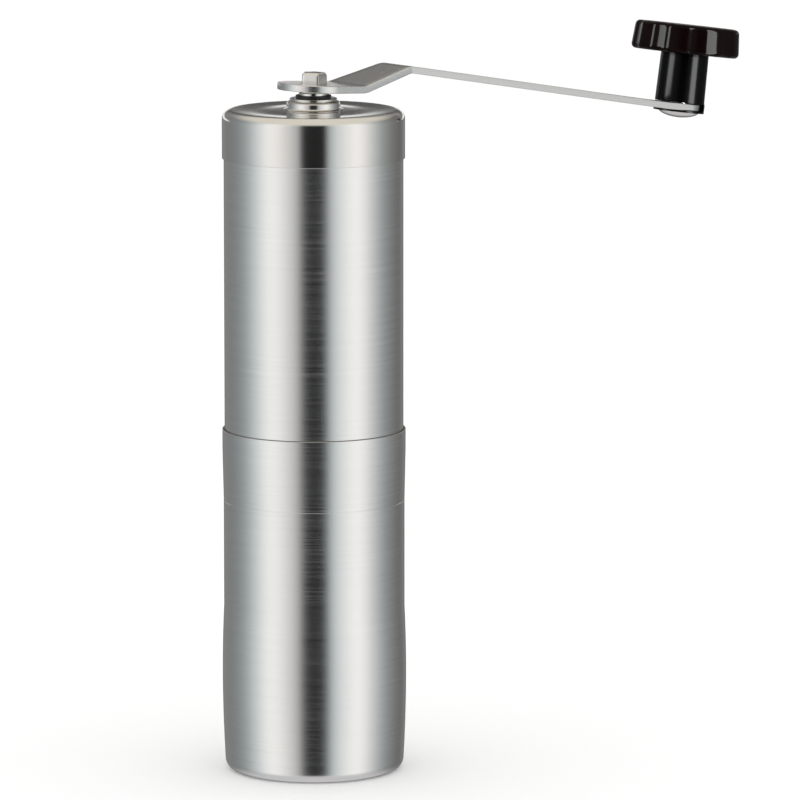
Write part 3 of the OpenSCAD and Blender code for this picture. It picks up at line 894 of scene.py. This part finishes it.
class GRINDER_OT_knob(bpy.types.Operator):
    """Knob: a drafted disc with rounded rims whose radius is the lesser of its circle and the flutes'
    arcs, a turned stem, the foot that holds the bar, and the pin with its domed head"""
    bl_idname = "grinder.knob"
    bl_label = "Knob"

    def execute(self, context):
        place = knob_place()
        self.head(place)
        self.stem(place)
        self.foot(place)
        self.pin(place)
        return {"FINISHED"}

    def head(self, place):
        """The profile's radius times the flutes' share of the head's radius. A flute is an arc about a
        centre outside the head, and its share fades with the sixth power of the radius, so both faces
        stay plain in the middle."""
        c = crank()
        top = c.knob_radius - c.head_height * math.tan(c.head_draft)
        z0, z1 = c.stem_height, c.stem_height + c.head_height
        hole, ceiling, flat, dip, dip_arc = 3.0 * MM, z0 + 2.2 * MM, 9 * MM, 0.15 * MM, 20 * MM
        outline = rounded(
            [[hole, ceiling], [hole, z0], [c.knob_radius, z0], [top, z1], [flat, z1], [0, z1 - dip]],
            [0.2 * MM, c.head_edge, c.head_edge, dip_arc], 10)
        profile = refined(np.vstack([[[0, ceiling]], outline]), 1.2 * MM)
        a = angles(432)
        span = TAU / c.flutes
        off = (a + span / 2) % span - span / 2
        centre = c.knob_radius + c.flute_radius - c.flute_depth
        inside = np.maximum(c.flute_radius ** 2 - (centre * np.sin(off)) ** 2, 0)
        scallop = np.where(inside > 0, centre * np.cos(off) - np.sqrt(inside), 1.0)
        ratio = least(scallop, c.knob_radius, 0.12 * MM) / c.knob_radius
        share = np.clip(profile[:, :1] / top, 0, 1) ** 6
        points = round_points(profile[:, :1] * (1 + share * (ratio - 1)), profile[:, 1:], a, place)
        mesh_piece("knob_disc", points, grid_faces(len(profile), len(a)), "knob",
                   "knob_head", head_gloss(), 40.0)

    def stem(self, place):
        """Barrel that narrows a little towards the head, with a bore."""
        c = crank()
        bore, middle = c.pin_radius + 0.07 * MM, c.stem_height / 2
        profile = rounded(
            [[bore, middle], [bore, c.stem_low], [c.stem_radius, c.stem_low],
             [c.stem_top, c.stem_height], [bore, c.stem_height], [bore, middle]],
            [0.1 * MM, 0.08 * MM, 0.02 * MM, 0.02 * MM])[:-1]
        turned("knob_barrel", refined(profile, 2 * MM), "knob", "knob_stem", stem_gloss(),
               160, place)

    def foot(self, place):
        """Disc under the bar. Its top rises into a lip only where a point lies further from the pin
        than the lip's start, along the bar: a smooth step of that distance sets the height."""
        c = crank()
        low, flat = -c.bar_thick - c.foot_thick, -c.bar_thick
        gap, edge, small = 0.15 * MM, 0.12 * MM, 0.05 * MM
        inner, outer = c.end_radius + gap, c.foot_radius
        a = angles(360)

        def top(radius):
            return flat + (c.foot_lip - flat) * step_up(radius * np.cos(a) - c.foot_reach, 0.3 * MM)

        rows = [(c.pin_radius, low), (outer - edge, low), (outer - 0.3 * edge, low + 0.3 * edge),
                (outer, low + edge), (outer, top(outer) - edge),
                (outer - 0.3 * edge, top(outer) - 0.3 * edge), (outer - edge, top(outer - edge)),
                (inner + small, top(inner)), (inner, np.maximum(top(inner) - small, flat)),
                (inner, flat), (c.pin_radius, flat)]
        r = np.array([row[0] for row in rows])[:, None]
        z = np.stack([0 * a + row[1] for row in rows])
        mesh_piece("knob_washer", round_points(r, z, a, place), grid_faces(len(rows), len(a), True),
                   "crank", "knob_foot", stem_gloss(), 35.0)

    def pin(self, place):
        """Shank, inner head and dome. The dome's radius is its full radius times the sine of an angle,
        and its depth is its height times the cosine of that angle to the power 1.3."""
        c = crank()
        t = np.linspace(0, math.pi / 2, 16)
        seat = -c.bar_thick - c.foot_thick
        dome = np.stack([c.dome_radius * np.sin(t), seat - c.dome_height * np.cos(t) ** 1.3], 1)
        top, end = c.stem_height + 0.9 * MM, c.stem_height + 1.7 * MM
        shank = rounded(
            [[c.dome_radius, seat], [c.pin_radius, seat], [c.pin_radius, top], [c.pin_head, top],
             [c.pin_head, end], [0, end]],
            [0.05 * MM, 0.05 * MM, 0.1 * MM, 0.2 * MM])
        turned("knob_axle", np.vstack([dome, shank[1:]]), "crank", "knob_pin",
               polished_steel(), 128, place, closed=False)


class GRINDER_OT_inner_parts(bpy.types.Operator):
    """Gives every piece of the frame that keeps its own shape its finish"""
    bl_idname = "grinder.inner_parts"
    bl_label = "Inner Parts"

    def execute(self, context):
        finishes = {
            seal_rubber: ["cup_seal"],
            housing_plastic: ["burr_housing", "centre_support", "burr_retainer", "burr_core",
                              "adjuster_nut"],
            acetal: ["shaft_bush"],
            ceramic: ["outer_burr", "inner_burr"],
            turned_brass: ["adjuster_insert"],
            spring_steel: ["detent_plate", "thrust_washer", "retaining_clip", "spring_washer",
                           "pressure_spring"],
        }
        for build, names in finishes.items():
            for name in names:
                for slot in frame["nodes"][name].material_slots:
                    slot.material = build()
        return {"FINISHED"}


# ---------------------------------------------------------------- studio

class GRINDER_OT_stage(bpy.types.Operator):
    """Pale floor, soft studio light, two lights for the knob alone and the camera"""
    bl_idname = "grinder.stage"
    bl_label = "Stage"

    def execute(self, context):
        self.floor()
        self.sky()
        self.camera()
        self.strips()
        bpy.context.scene.view_settings.view_transform = "Standard"
        return {"FINISHED"}

    def floor(self):
        """A flat disc of rings round the origin. Reflections see through it to the studio."""
        rings = np.array([[0.0], [0.4], [2.0], [studio().floor_radius]])
        points = round_points(rings, 0 * rings, angles(96))
        mesh = bpy.data.meshes.new("studio_floor")
        mesh.from_pydata(points.reshape(-1, 3), [], grid_faces(len(rings), 96).tolist())
        placed("studio_floor", mesh)
        made = bpy.data.materials.new("Studio floor")
        made.use_nodes = True
        tree = made.node_tree
        shader = tree.nodes["Principled BSDF"]
        shader.inputs["Base Color"].default_value = (*finish().floor, 1)
        shader.inputs["Roughness"].default_value = 0.5
        shader.inputs["Specular IOR Level"].default_value = 0.2
        self.split_view(tree, shader, node(tree, "BsdfTransparent"), tree.nodes["Material Output"])
        mesh.materials.append(made)

    def split_view(self, tree, seen, reflected, out):
        """One shader for what is seen or lit directly, and another for what reflections see."""
        mirrored = node(tree, "LightPath").outputs["Is Glossy Ray"]
        blend = node(tree, "MixShader")
        for k, source in enumerate((mirrored, seen.outputs[0], reflected.outputs[0])):
            wire(tree, source, blend.inputs[k])
        wire(tree, blend.outputs[0], out.inputs["Surface"])

    def sky(self):
        """Even white light for the floor. Reflections show tall soft panels round the object with dark
        gaps between them, a warm panel overhead, a pale floor below and a low bright strip behind."""
        world = bpy.data.worlds.new("Studio")
        bpy.context.scene.world = world
        world.use_nodes = True
        tree = world.node_tree
        for old in list(tree.nodes):
            tree.nodes.remove(old)
        place = node(tree, "TexCoord")
        split = node(tree, "SeparateXYZ")
        wire(tree, place.outputs["Generated"], split.inputs[0])
        facing = math.radians(-90) + studio().azimuth
        turn = maths(tree, "ARCTAN2", split.outputs[1], split.outputs[0])
        share = maths(tree, "FRACT", maths(tree, "ADD", maths(tree, "MULTIPLY", turn, 1 / TAU),
                                           0.5 - facing / TAU))
        panels = node(tree, "ValToRGB")
        ramp = panels.color_ramp
        ramp.interpolation = "B_SPLINE"
        # degrees right of the camera, brightness, coolness
        stops = [(-180, 0.10, 0), (-172, 0.12, 0), (-160, 0.30, 0), (-148, 0.24, 0), (-128, 0.25, 0.6),
                 (-108, 0.31, 1), (-90, 0.50, 1), (-72, 0.90, 0.6), (-57, 1.18, 0), (-42, 1.02, 0),
                 (-28, 0.72, 0), (-19, 0.56, 0.3), (-13.5, 0.06, 0.5), (-7, 0.02, 0.5), (2, 0.02, 0.5),
                 (10, 0.02, 0.5), (15, 0.03, 1), (21, 0.58, 1), (31, 0.84, 0.7), (48, 1.10, 0),
                 (60, 1.20, 0), (74, 0.88, 0.2), (90, 0.52, 0.7), (104, 0.34, 0.7), (120, 0.23, 0.2),
                 (140, 0.15, 0), (152, 0.20, 0), (160, 0.30, 0), (172, 0.12, 0), (180, 0.10, 0)]
        while len(ramp.elements) < len(stops):
            ramp.elements.new(0.5)
        for element, (degrees, level, cool) in zip(ramp.elements, stops):
            element.position = degrees / 360 + 0.5
            element.color = (level * (0.5 - 0.05 * cool), level * 0.5, level * (0.5 + 0.02 * cool), 1)
        wire(tree, share, panels.inputs[0])
        high = ramped(tree, split.outputs[2], 0.35, 0.8, "SMOOTHSTEP")
        deep = ramped(tree, split.outputs[2], -0.35, -0.85, "SMOOTHSTEP")
        shown = panels.outputs[0]
        for tint, mask in (((0.43, 0.41, 0.37, 1), high), ((0.34, 0.34, 0.35, 1), deep),
                           ((0.52, 0.52, 0.51, 1), self.backdrop(tree, split))):
            shown = mixed(tree, shown, tint, mask)
        mirror = node(tree, "Background")
        mirror.inputs["Strength"].default_value = studio().panel_light
        wire(tree, shown, mirror.inputs["Color"])
        even = node(tree, "Background")
        even.inputs["Color"].default_value = (1, 1, 1, 1)
        even.inputs["Strength"].default_value = studio().even_light
        self.split_view(tree, even, mirror, node(tree, "OutputWorld"))

    def backdrop(self, tree, split):
        """Mask of a low bright strip behind the object: the share of a direction that points away
        from the camera, times a band of its height between two smooth steps."""
        a = studio().azimuth
        away = maths(tree, "ADD", maths(tree, "MULTIPLY", split.outputs[0], -math.sin(a)),
                     maths(tree, "MULTIPLY", split.outputs[1], math.cos(a)))
        mask = None
        for socket, dark, bright in ((away, 0.6, 0.8), (split.outputs[2], 0.10, 0.075),
                                     (split.outputs[2], -0.05, 0.0)):
            shown = ramped(tree, socket, dark, bright, "SMOOTHSTEP")
            mask = shown if mask is None else maths(tree, "MULTIPLY", mask, shown)
        return mask

    def strips(self):
        """Two tall narrow lights for the knob's gloss, as seen from it, left and right of the camera.
        They light nothing else."""
        s = studio()
        lit = bpy.data.collections.new("knob_gloss_pieces")
        for name in ("knob_disc", "knob_barrel", "knob_washer"):
            lit.objects.link(bpy.data.objects[name])
        middle = Vector(KNOB["pos_m"])
        for name, turn, share in (("strip_left", s.strip_left, s.strip_share),
                                  ("strip_right", s.strip_right, 1.0)):
            data = bpy.data.lights.new(name, "AREA")
            data.shape = "RECTANGLE"
            data.size, data.size_y = s.strip_width, s.strip_height
            data.energy = s.strip_power * share
            lamp = placed(name, data)
            a = s.azimuth + turn
            away = Vector((math.sin(a), -math.cos(a), 0))
            lamp.location = middle + away * s.strip_distance - Vector((0, 0, s.strip_height / 8))
            lamp.rotation_mode = "QUATERNION"
            lamp.rotation_quaternion = away.to_track_quat("Z", "Y")
            lamp.light_linking.receiver_collection = lit
            lamp.visible_diffuse = False

    def camera(self):
        """A long lens that looks slightly down, aimed right of the spindle."""
        s = studio()
        data = bpy.data.cameras.new("camera")
        data.lens = s.lens
        data.clip_end = 100
        view = placed("camera", data)
        a, e = s.azimuth, s.elevation
        back = Vector((math.sin(a) * math.cos(e), -math.cos(a) * math.cos(e), math.sin(e)))
        right = Vector((math.cos(a), math.sin(a), 0))
        aim = right * s.aim_right + Vector((0, 0, s.aim_height))
        view.location = aim + back * s.distance
        view.rotation_mode = "QUATERNION"
        view.rotation_quaternion = (-back).to_track_quat("-Z", "Y")
        bpy.context.scene.camera = view


class GRINDER_PT_panel(bpy.types.Panel):
    """Lists the grinder's pieces and their settings in the sidebar"""
    bl_idname = "GRINDER_PT_panel"
    bl_label = "Coffee Grinder"
    bl_space_type = "VIEW_3D"
    bl_region_type = "UI"
    bl_category = "Grinder"

    def draw(self, context):
        for step in STEPS:
            self.layout.operator(step.bl_idname)
        for name, kind in GROUPS.items():
            box = self.layout.box()
            for key in kind.__annotations__:
                box.prop(getattr(context.scene, name), key)


STEPS = (GRINDER_OT_cup, GRINDER_OT_tube, GRINDER_OT_lid, GRINDER_OT_spindle, GRINDER_OT_bar,
         GRINDER_OT_knob, GRINDER_OT_inner_parts, GRINDER_OT_stage)
GROUPS = {
    "grinder_shell": GrinderShellSettings,
    "grinder_crank": GrinderCrankSettings,
    "grinder_spindle": GrinderSpindleSettings,
    "grinder_finish": GrinderFinishSettings,
    "grinder_studio": GrinderStudioSettings,
}
CLASSES = (*GROUPS.values(), *STEPS, GRINDER_PT_panel)


def register():
    for kind in CLASSES:
        bpy.utils.register_class(kind)
    for name, kind in GROUPS.items():
        setattr(bpy.types.Scene, name, bpy.props.PointerProperty(type=kind))


def unregister():
    for name in GROUPS:
        delattr(bpy.types.Scene, name)
    for kind in reversed(CLASSES):
        bpy.utils.unregister_class(kind)


def main():
    register()
    for step in STEPS:
        family, name = step.bl_idname.split(".")
        getattr(getattr(bpy.ops, family), name)()


if __name__ == "__main__":
    main()
